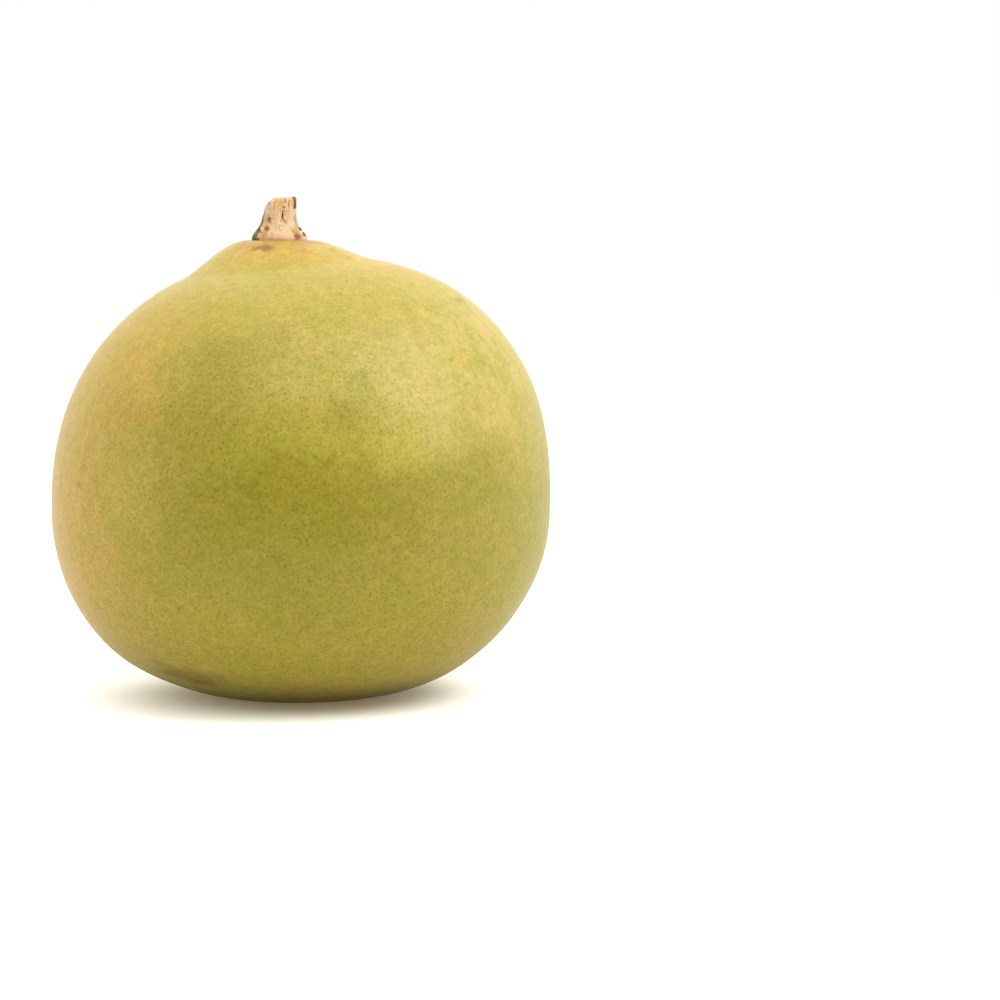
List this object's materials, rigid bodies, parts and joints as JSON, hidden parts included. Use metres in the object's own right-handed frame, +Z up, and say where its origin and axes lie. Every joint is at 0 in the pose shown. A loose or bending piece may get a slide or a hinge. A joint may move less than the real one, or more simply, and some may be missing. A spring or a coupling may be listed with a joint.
{
  "type": "bael fruit",
  "caption": "Whole bael fruit as picked, a round hard-shelled yellow-green fruit with a short woody stub of stalk, resting upright on a small flat spot at its blossom end.",
  "frame": {"origin": "on the resting surface, under the middle of the fruit", "axes": "+Z up, along the fruit from its blossom end to its stalk; +X to the right as the fruit is seen, towards its fuller shoulder; +Y away from the viewer"},
  "size_m": [0.1096, 0.1066, 0.1095],
  "materials": {
    "rind": "smooth satin rind, mottled yellow-green with fine olive dots",
    "stalk_wood": "dry, pale, cracked wood with patches of dark bark"
  },
  "bodies": {
    "root": {"fruit": "rind", "stalk": "stalk_wood"}
  },
  "joints": []
}
